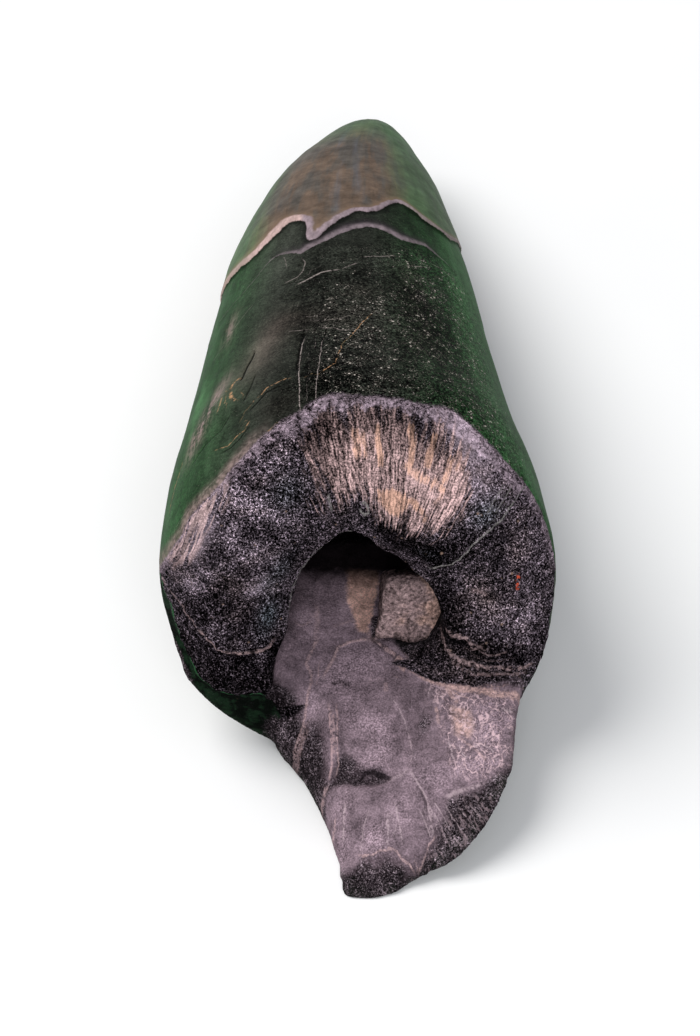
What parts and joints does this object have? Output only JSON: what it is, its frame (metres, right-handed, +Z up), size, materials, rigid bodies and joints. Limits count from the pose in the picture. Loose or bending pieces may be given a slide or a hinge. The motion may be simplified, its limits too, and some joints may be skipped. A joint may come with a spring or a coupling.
{
  "type": "fossil crocodile tooth",
  "caption": "Blackened fossil crocodile tooth lying on its side: a blunt crown on a thick root, broken across to show the pulp cavity and a tongue of wall.",
  "frame": {"origin": "centre of the footprint box, at the level of the surface the tooth lies on", "axes": "+Y from the broken base towards the tip, +Z up, +X to the right seen from the broken base"},
  "size_m": [0.0226, 0.0628, 0.0216],
  "materials": {
    "fossil_tooth": "black mineralised dentine and enamel: satin outside with pale hairline cracks, brown crown, rough grey-lilac break with tan fibres",
    "sediment": "matt, sandy, tan-grey"
  },
  "bodies": {
    "root": {"tooth": "fossil_tooth", "sediment_lump": "sediment"}
  },
  "joints": []
}
